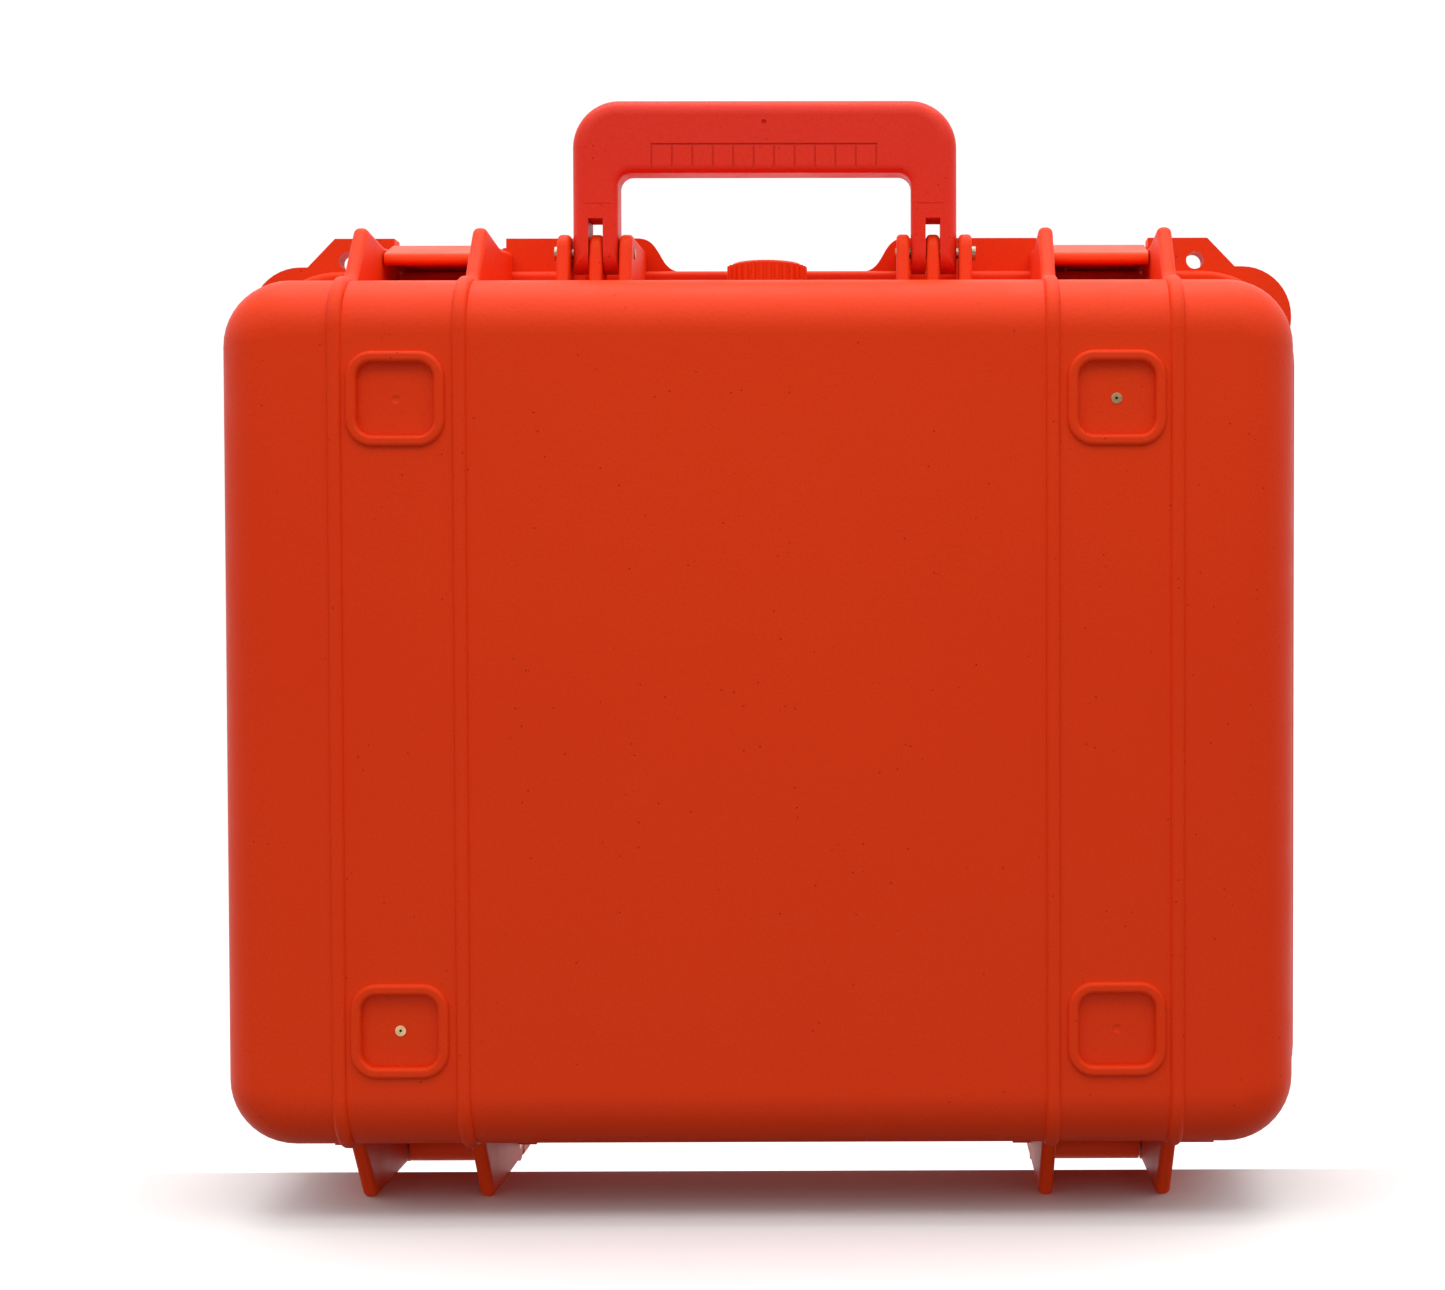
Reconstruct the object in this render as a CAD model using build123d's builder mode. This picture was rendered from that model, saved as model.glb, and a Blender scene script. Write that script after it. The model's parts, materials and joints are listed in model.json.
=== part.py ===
from build123d import *
import math
import os

# Defibrillator kit: a waterproof moulded hard case standing on its hinge side, with a generic
# automatic external defibrillator (AED) bedded in foam inside it.
# Frame: X across the case, Y from the base's outer face (low) to the lid's face (high), Z up.
# Origin: on the standing surface, in the middle of the case's width and depth. Millimetres.

# ---- case, driving dimensions ----
FACE_W = 391.6
FACE_H = 317.0
FACE_BOTTOM = 28.0
BASE_DEPTH = 112.0
LID_DEPTH = 51.0
RIM_GAP = 0.2
DRAFT = 2.3
WALL = 3.6
FACE_WALL = 4.0
FACE_CORNER_R = 24.0
FACE_EDGE_R = 21.5
LID_EDGE_R = 15.0

# ---- ribs that run over both faces and grow into fins on the latch and hinge sides ----
RIB_XS = (-152.0, -107.0, 107.0, 152.0)
RIB_T = 5.5
RIB_PROUD = 1.5
RIB_EDGE_R = 2.2
LID_RIB_EDGE_R = 1.3
FIN_FOOT = 27.0
FIN_TOP_TIP = (46.0, 369.6)
FIN_TOP_DIP = (78.0, 367.0)
FIN_TOP_Z = 370.0
FIN_BOTTOM_TIP = 49.0
LID_FIN_TOP = 138.0
LID_FIN_TOP_Z = 372.0
LID_FIN_FOOT = 145.0
LID_FOOT_START = 8.8

# ---- rim bead and flanges ----
BEAD_W = 422.0
BEAD_BOTTOM = 10.0
BEAD_TOP = 361.5
BEAD_R = 38.0
BEAD_T = 9.0
FLANGE_T = 5.0
FLANGE_TOP = 375.0
FLANGE_INNER = 54.0
FLANGE_OUTER = 176.0
FLANGE_END = 191.0
SHOULDER_X = 180.0
SHOULDER_W = 60.0
SHOULDER_H = 41.0
SHOULDER_TOP = 363.5
SHOULDER_R = 20.0
FLANGE_MIDDLE = 42.0
PADLOCK_X = 171.0
PADLOCK_Z = 366.0
PADLOCK_R = 3.5
TONGUE_W = 3.4
TONGUE_H = 1.6
TONGUE_INSET = 7.0
GROOVE_W = 5.0
GROOVE_H = 4.4
GASKET_H = 2.4

# ---- hinge ----
HINGE_Z = 7.0
EAR_R = 7.0
KNUCKLE_R = 6.8
KNUCKLE_CLEAR = 7.6
KNUCKLE_X0 = 110.5
KNUCKLE_X1 = 148.5
HINGE_STRIP_X0 = 97.0
HINGE_STRIP_X1 = 179.0
HINGE_STRIP_Z = 7.6
PIN_R = 2.0
PIN_HOLE_R = 2.05

# ---- handle ----
PIVOT_DEPTH = 63.0
PIVOT_Z = 362.0
HANDLE_HALF = 73.6
HANDLE_OPEN_HALF = 56.0
HANDLE_TOP = 420.0
GRIP_H = 28.0
HANDLE_T = 16.0
LEG_R = 8.0
HANDLE_CORNER_R = 18.0
EAR_T = 5.0
EAR_XS = (76.9, 64.5, 53.0)
EAR_EYE_R = 7.0
SLOT_HALF = 2.8
SLOT_TOP = 374.5

# ---- pressure valve ----
VALVE_DEPTH = 74.0
VALVE_R = 15.5
VALVE_TOP = 359.4
VALVE_KNOB_H = 9.8
VALVE_RIBS = 30

# ---- foot recesses in the base's face ----
FOOT_XS = (-130.0, 130.0)
FOOT_ZS = (72.0, 300.6)
FOOT_W = 36.0
FOOT_H = 34.6
FOOT_RIM = 4.2
FOOT_SINK = 1.8
FOOT_CORNER_R = 9.8
DIMPLE_R = 3.0
DIMPLE_SINK = 0.5

# ---- latches ----
LATCH_X = 129.5
LATCH_W = 38.0
CLAW_PIVOT = (133.0, 362.5)
LEVER_PIVOT = (119.0, 367.3)
CLAW_EYE_R = 5.0
LEVER_EYE_R = 5.2
CLAW_KNUCKLE_W = 20.0
CLAW_END = 95.0
CLAW_BAR_T = 3.0
CLAW_BAR_W = 31.0
CLAW_BAR_TOP = 365.6
LATCH_PIN_R = 1.5
LATCH_PIN_HOLE_R = 1.55

# ---- defibrillator unit ----
AED_W = 230.0
AED_H = 215.0
AED_D = 76.0
AED_X = -58.0
AED_BOTTOM = 58.0
AED_BACK = 33.0
AED_SPLIT = 50.0
AED_WALL = 2.6
AED_R = 26.0
AED_BOSS = 12.5
SHOCK_R = 17.0
SHOCK_X = 62.0
SHOCK_Z = 92.0
POWER_R = 10.0
POWER_X = 62.0
POWER_Z = 168.0
BUTTON_PROUD = 2.0

# ---- foam ----
FOAM_GAP = 0.7
FOAM_TOP = 110.0
FOAM_EDGE_R = 19.0
LID_FOAM_EDGE_R = 14.0
POCKET_GAP = 1.5
POUCH_X = 124.0
POUCH_Z = 258.0
POUCH_W = 92.0
POUCH_H = 122.0
POUCH_D = 30.0
SPARE_Z = 108.0
SPARE_W = 96.0
SPARE_H = 120.0
SPARE_D = 56.0

HALF_DEPTH = (BASE_DEPTH + LID_DEPTH + RIM_GAP) / 2
FACE_MID_Z = FACE_BOTTOM + FACE_H / 2
FACE_TOP = FACE_BOTTOM + FACE_H
BEAD_MID_Z = (BEAD_BOTTOM + BEAD_TOP) / 2
BEAD_H = BEAD_TOP - BEAD_BOTTOM
SPREAD = math.tan(math.radians(DRAFT))
LID_RIM = BASE_DEPTH + RIM_GAP
LID_FACE = LID_RIM + LID_DEPTH


def y_at(depth):
    """Y of a plane that lies this deep behind the base's outer face."""
    return depth - HALF_DEPTH


def front(depth):
    """Sketch plane seen from the base's side: local x is X, local y is Z, normal is -Y."""
    return Plane.XZ.offset(-y_at(depth))


def save(piece, label):
    """Name a finished piece and write it."""
    piece.part.label = label
    export_step(piece.part, f"parts/{label}.step")


def rib_outline(points, radii, x=0):
    """Closed outline in a YZ plane from (depth, Z) corners, each rounded by its own radius."""
    corners = [(y_at(depth), z) for depth, z in points]
    with BuildSketch(Plane.YZ.offset(x)) as outline:
        with BuildLine():
            Polyline(*corners, close=True)
        make_face()
        for corner, radius in zip(corners, radii):
            if radius:
                spot = outline.vertices().sort_by_distance(Vector(*corner))[0]
                fillet(spot, radius)
    return outline.sketch


def bar(x_mid, width, depth, z, radius):
    """Round bar along X with its middle at x_mid."""
    with BuildPart() as rod:
        with BuildSketch(Plane.YZ.offset(x_mid)):
            with Locations((y_at(depth), z)):
                Circle(radius)
        extrude(amount=width / 2, both=True)
    return rod.part


def slab(width, height, corner, mid_x, mid_z, depth0, depth1, taper=0):
    """Rounded plate block standing between two depths; a taper narrows it towards depth0."""
    with BuildPart() as block:
        with BuildSketch(front(depth1)):
            with Locations((mid_x, mid_z)):
                RectangleRounded(width, height, corner)
        extrude(amount=depth1 - depth0, taper=taper)
    return block.part


os.makedirs("parts", exist_ok=True)

# ================= base shell =================
spread_base = BASE_DEPTH * SPREAD
low_z = FACE_BOTTOM - RIB_PROUD
high_z = FACE_TOP + RIB_PROUD

with BuildPart() as base_rib:
    outline = rib_outline(
        [
            (BASE_DEPTH, FIN_TOP_Z),
            FIN_TOP_DIP,
            FIN_TOP_TIP,
            (FIN_FOOT, high_z + FIN_FOOT * SPREAD),
            (-RIB_PROUD, high_z),
            (-RIB_PROUD, low_z),
            (FIN_FOOT, low_z - FIN_FOOT * SPREAD),
            (FIN_BOTTOM_TIP, 0),
            (BASE_DEPTH, 0),
        ],
        [0, 40, 4, 8, FACE_EDGE_R, FACE_EDGE_R, 8, 4, 0],
    )
    extrude(outline, amount=RIB_T / 2, both=True)
    side_edges = base_rib.faces().filter_by(Axis.X).edges()
    crest = [e for e in side_edges if e.center().Y < y_at(BASE_DEPTH) - 1]
    fillet(crest, RIB_EDGE_R)
    add(bar(0, RIB_T, BASE_DEPTH, HINGE_Z, EAR_R))

with BuildPart() as base_rim:
    add(slab(BEAD_W, BEAD_H, BEAD_R, 0, BEAD_MID_Z, BASE_DEPTH - BEAD_T, BASE_DEPTH))
    fillet(base_rim.faces().sort_by(Axis.Y)[0].edges(), 2.5)

with BuildSketch(Plane.XZ) as flange_outline:
    with BuildLine():
        # half outline of the latch side's flange, from the valve's dip out to the end
        dip = Line((0, BEAD_TOP - 8), (0, BEAD_TOP))
        floor_line = Line(dip @ 1, (FLANGE_MIDDLE - 6, BEAD_TOP))
        rise = Spline(
            floor_line @ 1,
            (FLANGE_INNER, FLANGE_TOP),
            tangents=((1, 0), (1, 0)),
        )
        crown = Line(rise @ 1, (FLANGE_OUTER, FLANGE_TOP))
        end_cut = Line(crown @ 1, (FLANGE_END, BEAD_TOP - 2))
        under = Line(end_cut @ 1, (FLANGE_END, BEAD_TOP - 8))
        Line(under @ 1, dip @ 0)
    make_face()
    mirror(about=Plane.YZ)
    for side in (-1, 1):
        with Locations((side * LATCH_X, FLANGE_TOP)):
            Rectangle(RIB_XS[3] - RIB_XS[2], 2 * (FLANGE_TOP - BEAD_TOP), mode=Mode.SUBTRACT)

with BuildPart() as handle_ear:
    ear_outline = rib_outline(
        [
            (PIVOT_DEPTH - 13, FACE_TOP - 2),
            (PIVOT_DEPTH - 7, PIVOT_Z + EAR_EYE_R),
            (PIVOT_DEPTH + 8, PIVOT_Z + EAR_EYE_R),
            (BASE_DEPTH - 2, FIN_TOP_Z),
            (BASE_DEPTH - 2, FACE_TOP - 2),
        ],
        [0, 6.5, 8, 0, 0],
    )
    extrude(ear_outline, amount=EAR_T / 2, both=True)
    fillet(handle_ear.faces().filter_by(Axis.X).edges(), 1.6)

with BuildPart() as middle_ear:
    ear_outline = rib_outline(
        [
            (PIVOT_DEPTH - 11, FACE_TOP - 2),
            (PIVOT_DEPTH - 7, PIVOT_Z + EAR_EYE_R),
            (PIVOT_DEPTH + 7, PIVOT_Z + EAR_EYE_R),
            (PIVOT_DEPTH + 11, FACE_TOP - 2),
        ],
        [0, 6.5, 6.5, 0],
    )
    extrude(ear_outline, amount=EAR_T / 2, both=True)
    fillet(middle_ear.faces().filter_by(Axis.X).edges(), 1.6)

with BuildPart() as foot_rim:
    # raised rounded rim, drawn about the origin of its own recess
    with BuildSketch(front(1.0)):
        RectangleRounded(FOOT_W, FOOT_H, FOOT_CORNER_R)
        RectangleRounded(
            FOOT_W - 2 * FOOT_RIM,
            FOOT_H - 2 * FOOT_RIM,
            FOOT_CORNER_R - FOOT_RIM,
            mode=Mode.SUBTRACT,
        )
    extrude(amount=RIB_PROUD + 1.0)
    fillet(foot_rim.faces().sort_by(Axis.Y)[0].edges(), 1.6)

with BuildPart() as base_inside:
    # room inside the shell, rounded like the outside so that the wall stays even
    add(
        slab(
            FACE_W + 2 * spread_base - 2 * WALL,
            FACE_H + 2 * spread_base - 2 * WALL,
            FACE_CORNER_R + spread_base - WALL,
            0,
            FACE_MID_Z,
            FACE_WALL,
            BASE_DEPTH,
            DRAFT,
        )
    )
    fillet(base_inside.faces().sort_by(Axis.Y)[0].edges(), FACE_EDGE_R - WALL)

with BuildPart() as base_shell:
    with BuildSketch(front(BASE_DEPTH)):
        with Locations((0, FACE_MID_Z)):
            RectangleRounded(
                FACE_W + 2 * spread_base,
                FACE_H + 2 * spread_base,
                FACE_CORNER_R + spread_base,
            )
    extrude(amount=BASE_DEPTH, taper=DRAFT)
    fillet(base_shell.faces().sort_by(Axis.Y)[0].edges(), FACE_EDGE_R)
    add(base_rim.part)
    with BuildSketch(front(BASE_DEPTH)):
        add(flange_outline.sketch)
        for side in (-1, 1):
            with Locations((side * (HINGE_STRIP_X0 + HINGE_STRIP_X1) / 2, HINGE_STRIP_Z + 6)):
                Rectangle(HINGE_STRIP_X1 - HINGE_STRIP_X0, 12)
            # the rim's upper corner fills out into a rounded shoulder
            with Locations((side * SHOULDER_X, SHOULDER_TOP - SHOULDER_H / 2)):
                RectangleRounded(SHOULDER_W, SHOULDER_H, SHOULDER_R)
    extrude(amount=FLANGE_T)
    with Locations(*[(x, 0, 0) for x in RIB_XS]):
        add(base_rib.part)
    with Locations(*[(side * EAR_XS[k], 0, 0) for side in (-1, 1) for k in (0, 2)]):
        add(handle_ear.part)
    with Locations(*[(side * EAR_XS[1], 0, 0) for side in (-1, 1)]):
        add(middle_ear.part)
    # flat boss under the valve and two gussets behind it
    with BuildSketch(Plane.XY.offset(FACE_TOP - 6)):
        with Locations((0, y_at(VALVE_DEPTH))):
            Circle(VALVE_R + 1.5)
    extrude(amount=9.6)
    with BuildSketch(Plane.XY.offset(FACE_TOP - 4)):
        with Locations((-20, y_at(96)), (20, y_at(96))):
            Rectangle(3, 20)
    extrude(amount=14)
    with Locations(*[(x, 0, z) for x in FOOT_XS for z in FOOT_ZS]):
        add(foot_rim.part)
    add(base_inside.part, mode=Mode.SUBTRACT)
    # foot recesses, their moulding dimples and the two insert holes
    with BuildSketch(front(-RIB_PROUD)):
        with Locations(*[(x, z) for x in FOOT_XS for z in FOOT_ZS]):
            RectangleRounded(
                FOOT_W - 2 * FOOT_RIM, FOOT_H - 2 * FOOT_RIM, FOOT_CORNER_R - FOOT_RIM
            )
    extrude(amount=-(RIB_PROUD + FOOT_SINK), mode=Mode.SUBTRACT)
    dimple_y = y_at(FOOT_SINK - DIMPLE_R + DIMPLE_SINK)
    with Locations((FOOT_XS[0], dimple_y, FOOT_ZS[1]), (FOOT_XS[1], dimple_y, FOOT_ZS[0])):
        Sphere(DIMPLE_R, mode=Mode.SUBTRACT)
    with BuildSketch(front(-RIB_PROUD)):
        with Locations((FOOT_XS[1], FOOT_ZS[1]), (FOOT_XS[0], FOOT_ZS[0])):
            Circle(2.0)
    extrude(amount=-(RIB_PROUD + FACE_WALL + 1), mode=Mode.SUBTRACT)
    # padlock holes, pin holes and the room that the lid's knuckles turn in
    with BuildSketch(front(BASE_DEPTH)):
        with Locations((-PADLOCK_X, PADLOCK_Z), (PADLOCK_X, PADLOCK_Z)):
            Circle(PADLOCK_R)
    extrude(amount=BEAD_T + 1, mode=Mode.SUBTRACT)
    for side in (-1, 1):
        knuckle_room = bar(
            side * LATCH_X, RIB_XS[3] - RIB_XS[2] - RIB_T, BASE_DEPTH, HINGE_Z, KNUCKLE_CLEAR
        )
        add(knuckle_room, mode=Mode.SUBTRACT)
        hinge_bore = bar(side * LATCH_X, 60, BASE_DEPTH, HINGE_Z, PIN_HOLE_R)
        add(hinge_bore, mode=Mode.SUBTRACT)
        handle_bore = bar(side * EAR_XS[1], 40, PIVOT_DEPTH, PIVOT_Z, PIN_HOLE_R)
        add(handle_bore, mode=Mode.SUBTRACT)
    with BuildSketch(Plane.XY.offset(FACE_TOP - 20)):
        with Locations((0, y_at(VALVE_DEPTH))):
            Circle(7.0)
    extrude(amount=40, mode=Mode.SUBTRACT)
    # sealing tongue on the rim
    with BuildSketch(front(BASE_DEPTH)):
        with Locations((0, BEAD_MID_Z)):
            RectangleRounded(
                BEAD_W - 2 * TONGUE_INSET, BEAD_H - 2 * TONGUE_INSET - 8, BEAD_R - TONGUE_INSET
            )
            RectangleRounded(
                BEAD_W - 2 * (TONGUE_INSET + TONGUE_W),
                BEAD_H - 2 * (TONGUE_INSET + TONGUE_W) - 8,
                BEAD_R - TONGUE_INSET - TONGUE_W,
                mode=Mode.SUBTRACT,
            )
    extrude(amount=-TONGUE_H)
save(base_shell, "base_shell")

# ================= lid shell =================
spread_lid = LID_DEPTH * SPREAD

with BuildPart() as lid_rib:
    outline = rib_outline(
        [
            (LID_RIM, LID_FIN_TOP_Z),
            (LID_FIN_TOP, LID_FIN_TOP_Z - 1),
            (LID_FIN_FOOT, high_z + 0.7),
            (LID_FACE + RIB_PROUD, high_z),
            (LID_FACE + RIB_PROUD, low_z),
            (LID_FIN_FOOT, low_z - 0.7),
            (LID_FIN_TOP + 2, 0),
            (LID_RIM + LID_FOOT_START, 0),
            (LID_RIM + LID_FOOT_START, HINGE_Z + 1),
            (LID_RIM, HINGE_Z + 1),
        ],
        [0, 4, 2, LID_EDGE_R, LID_EDGE_R, 2, 4, 1, 0, 0],
    )
    extrude(outline, amount=RIB_T / 2, both=True)
    side_edges = lid_rib.faces().filter_by(Axis.X).edges()
    crest = [e for e in side_edges if e.center().Y > y_at(LID_RIM) + 1]
    fillet(crest, LID_RIB_EDGE_R)

with BuildPart() as lid_rim:
    add(slab(BEAD_W, BEAD_H, BEAD_R, 0, BEAD_MID_Z, LID_RIM, LID_RIM + BEAD_T))
    fillet(lid_rim.faces().sort_by(Axis.Y)[-1].edges(), 2.5)

with BuildPart() as lid_inside:
    with BuildSketch(front(LID_RIM)):
        with Locations((0, FACE_MID_Z)):
            RectangleRounded(
                FACE_W + 2 * spread_lid - 2 * WALL,
                FACE_H + 2 * spread_lid - 2 * WALL,
                FACE_CORNER_R + spread_lid - WALL,
            )
    extrude(amount=-(LID_DEPTH - FACE_WALL), taper=DRAFT)
    fillet(lid_inside.faces().sort_by(Axis.Y)[-1].edges(), LID_EDGE_R - WALL)

with BuildPart() as lid_shell:
    with BuildSketch(front(LID_RIM)):
        with Locations((0, FACE_MID_Z)):
            RectangleRounded(
                FACE_W + 2 * spread_lid, FACE_H + 2 * spread_lid, FACE_CORNER_R + spread_lid
            )
    extrude(amount=-LID_DEPTH, taper=DRAFT)
    fillet(lid_shell.faces().sort_by(Axis.Y)[-1].edges(), LID_EDGE_R)
    add(lid_rim.part)
    with BuildSketch(front(LID_RIM)):
        add(flange_outline.sketch)
        for side in (-1, 1):
            with Locations((side * (HINGE_STRIP_X0 + HINGE_STRIP_X1) / 2, HINGE_STRIP_Z + 6)):
                Rectangle(HINGE_STRIP_X1 - HINGE_STRIP_X0, 12)
    extrude(amount=-FLANGE_T)
    with Locations(*[(x, 0, 0) for x in RIB_XS]):
        add(lid_rib.part)
    add(lid_inside.part, mode=Mode.SUBTRACT)
    with BuildSketch(front(LID_RIM)):
        with Locations((-PADLOCK_X, PADLOCK_Z), (PADLOCK_X, PADLOCK_Z)):
            Circle(PADLOCK_R)
    extrude(amount=-(BEAD_T + 1), mode=Mode.SUBTRACT)
    # room round the base's hinge ears, then the lid's own knuckles and their webs
    for x in RIB_XS:
        add(bar(x, RIB_T + 1.4, BASE_DEPTH, HINGE_Z, KNUCKLE_CLEAR), mode=Mode.SUBTRACT)
    for side in (-1, 1):
        add(bar(side * LATCH_X, KNUCKLE_X1 - KNUCKLE_X0, BASE_DEPTH, HINGE_Z, KNUCKLE_R))
        with BuildSketch(front(LID_RIM + 0.2)):
            with Locations((side * LATCH_X, HINGE_Z + 5)):
                Rectangle(KNUCKLE_X1 - KNUCKLE_X0, 10)
        extrude(amount=-(BEAD_T - 3))
        add(bar(side * LATCH_X, 60, BASE_DEPTH, HINGE_Z, PIN_HOLE_R), mode=Mode.SUBTRACT)
        add(
            bar(side * LATCH_X, 60, CLAW_PIVOT[0], CLAW_PIVOT[1], LATCH_PIN_HOLE_R),
            mode=Mode.SUBTRACT,
        )
    # gasket groove
    groove_side = (GROOVE_W - TONGUE_W) / 2
    with BuildSketch(front(LID_RIM)):
        with Locations((0, BEAD_MID_Z)):
            RectangleRounded(
                BEAD_W - 2 * (TONGUE_INSET - groove_side),
                BEAD_H - 2 * (TONGUE_INSET - groove_side) - 8,
                BEAD_R - TONGUE_INSET + groove_side,
            )
            RectangleRounded(
                BEAD_W - 2 * (TONGUE_INSET + TONGUE_W + groove_side),
                BEAD_H - 2 * (TONGUE_INSET + TONGUE_W + groove_side) - 8,
                BEAD_R - TONGUE_INSET - TONGUE_W - groove_side,
                mode=Mode.SUBTRACT,
            )
    extrude(amount=-GROOVE_H, mode=Mode.SUBTRACT)
save(lid_shell, "lid_shell")

with BuildPart() as lid_gasket:
    with BuildSketch(front(LID_RIM + GROOVE_H)):
        with Locations((0, BEAD_MID_Z)):
            RectangleRounded(
                BEAD_W - 2 * TONGUE_INSET + 1.0,
                BEAD_H - 2 * TONGUE_INSET - 8 + 1.0,
                BEAD_R - TONGUE_INSET + 0.5,
            )
            RectangleRounded(
                BEAD_W - 2 * (TONGUE_INSET + TONGUE_W) - 1.0,
                BEAD_H - 2 * (TONGUE_INSET + TONGUE_W) - 8 - 1.0,
                BEAD_R - TONGUE_INSET - TONGUE_W - 0.5,
                mode=Mode.SUBTRACT,
            )
    extrude(amount=GASKET_H)
save(lid_gasket, "lid_gasket")

# ================= hinge pins, handle pins, latch pins =================
with BuildPart() as hinge_pins:
    for side in (-1, 1):
        add(bar(side * LATCH_X, RIB_XS[3] - RIB_XS[2] + RIB_T, BASE_DEPTH, HINGE_Z, PIN_R))
save(hinge_pins, "hinge_pins")

with BuildPart() as handle_pins:
    for side in (-1, 1):
        add(bar(side * EAR_XS[1], EAR_XS[0] - EAR_XS[2] + EAR_T, PIVOT_DEPTH, PIVOT_Z, PIN_R))
        add(bar(side * (EAR_XS[0] + EAR_T / 2 + 0.9), 1.4, PIVOT_DEPTH, PIVOT_Z, 2.8))
save(handle_pins, "handle_pins")

with BuildPart() as latch_pins:
    for side in (-1, 1):
        add(
            bar(
                side * LATCH_X,
                RIB_XS[3] - RIB_XS[2] + RIB_T,
                CLAW_PIVOT[0],
                CLAW_PIVOT[1],
                LATCH_PIN_R,
            )
        )
save(latch_pins, "latch_pins")

# ================= handle =================
with BuildPart() as handle:
    with BuildSketch(front(PIVOT_DEPTH)) as grip_shape:
        with Locations((0, (HANDLE_TOP + PIVOT_Z - LEG_R) / 2)):
            Rectangle(2 * HANDLE_HALF, HANDLE_TOP - PIVOT_Z + LEG_R)
        fillet(grip_shape.vertices().group_by(Axis.Y)[-1], HANDLE_CORNER_R)
        with BuildSketch(front(PIVOT_DEPTH), mode=Mode.SUBTRACT) as gap_shape:
            with Locations((0, (HANDLE_TOP - GRIP_H + PIVOT_Z - LEG_R) / 2)):
                Rectangle(2 * HANDLE_OPEN_HALF, HANDLE_TOP - GRIP_H - PIVOT_Z + LEG_R)
            fillet(gap_shape.vertices().group_by(Axis.Y)[-1], 5.0)
    extrude(amount=HANDLE_T / 2, both=True)
    outer_edges = handle.edges().filter_by(
        lambda e: abs(abs(e.center().Y - y_at(PIVOT_DEPTH)) - HANDLE_T / 2) < 0.01
        and e.center().Z > PIVOT_Z - LEG_R + 1
    )
    outline_edges = [
        e
        for e in outer_edges
        if e.center().Z > HANDLE_TOP - HANDLE_CORNER_R or abs(e.center().X) > HANDLE_HALF - 1
    ]
    fillet(outline_edges, 6.0)
    gap_edges = handle.edges().filter_by(
        lambda e: abs(abs(e.center().Y - y_at(PIVOT_DEPTH)) - HANDLE_T / 2) < 0.01
        and e.center().Z > PIVOT_Z - LEG_R + 1
        and e.center().Z < HANDLE_TOP - GRIP_H + 1
        and abs(e.center().X) < HANDLE_OPEN_HALF + 0.1
    )
    fillet(gap_edges, 3.0)
    # round the leg ends about the pivot
    with BuildSketch(Plane.YZ):
        with Locations((y_at(PIVOT_DEPTH), PIVOT_Z)):
            Circle(LEG_R)
        with Locations((y_at(PIVOT_DEPTH), (PIVOT_Z + HANDLE_TOP + 2) / 2)):
            Rectangle(2 * LEG_R, HANDLE_TOP + 2 - PIVOT_Z)
    extrude(amount=HANDLE_HALF + 1, both=True, mode=Mode.INTERSECT)
    for side in (-1, 1):
        # slot for the middle ear, and the pin's bore
        with BuildSketch(front(PIVOT_DEPTH)):
            with Locations((side * EAR_XS[1], (SLOT_TOP + PIVOT_Z - LEG_R) / 2)):
                Rectangle(2 * SLOT_HALF, SLOT_TOP - PIVOT_Z + LEG_R + 0.01)
        extrude(amount=HANDLE_T, both=True, mode=Mode.SUBTRACT)
        add(bar(side * EAR_XS[1], 30, PIVOT_DEPTH, PIVOT_Z, PIN_HOLE_R), mode=Mode.SUBTRACT)
        # shallow mould line across each leg
        with BuildSketch(front(PIVOT_DEPTH - HANDLE_T / 2)):
            with Locations((side * (HANDLE_HALF + HANDLE_OPEN_HALF) / 2, 380.0)):
                Rectangle(HANDLE_HALF - HANDLE_OPEN_HALF + 2, 0.5)
        extrude(amount=-0.15, mode=Mode.SUBTRACT)
    # finger pads along the lower edge of the grip, on both faces
    for face_depth, inward in ((PIVOT_DEPTH - HANDLE_T / 2, -0.5), (PIVOT_DEPTH + HANDLE_T / 2, 0.5)):
        with BuildSketch(front(face_depth)):
            with Locations((0, HANDLE_TOP - GRIP_H + 10.6)):
                Rectangle(86.5, 0.7)
            with Locations((0, HANDLE_TOP - GRIP_H + 5.5)):
                with GridLocations(7.8, 1, 12, 1):
                    Rectangle(0.7, 11.0)
        extrude(amount=inward, mode=Mode.SUBTRACT)
    with Locations((0, y_at(PIVOT_DEPTH - HANDLE_T / 2), HANDLE_TOP - 9)):
        Sphere(1.0, mode=Mode.SUBTRACT)
save(handle, "handle")

# ================= latches =================
claw_d, claw_z = CLAW_PIVOT
lever_d, lever_z = LEVER_PIVOT


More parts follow.
